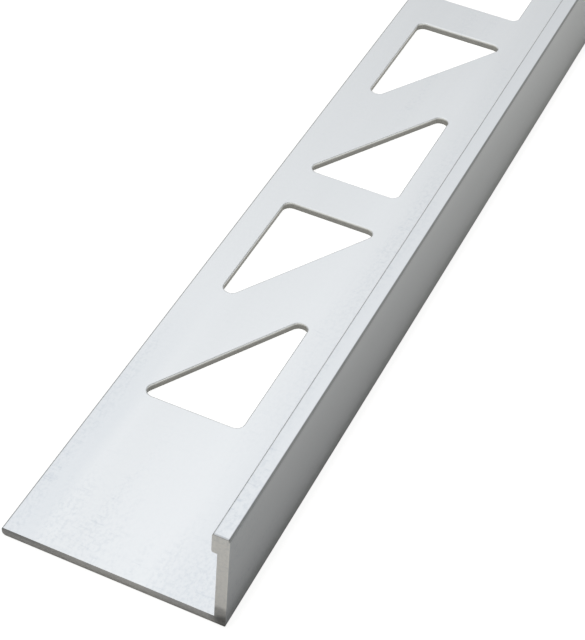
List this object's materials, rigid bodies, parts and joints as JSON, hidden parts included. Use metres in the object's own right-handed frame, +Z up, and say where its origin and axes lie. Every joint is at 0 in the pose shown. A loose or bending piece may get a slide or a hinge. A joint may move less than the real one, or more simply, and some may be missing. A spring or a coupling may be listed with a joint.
{
  "type": "tile edge trim",
  "caption": "Straight L-shaped aluminium tile edge trim: an upright web with a lipped top face, and a thin anchoring leg punched with alternating triangular holes.",
  "frame": {"origin": "centre of the underside of the bounding box: mid width, mid length, on the leg's underside", "axes": "+X across the trim towards the web's visible outer face, +Y along the trim from the near cut end to the far one, +Z up from the leg's underside to the lip's top"},
  "size_m": [0.024, 1, 0.0125],
  "materials": {
    "aluminium": "mill finish, satin"
  },
  "bodies": {
    "root": {"edge_trim": "aluminium"}
  },
  "joints": []
}
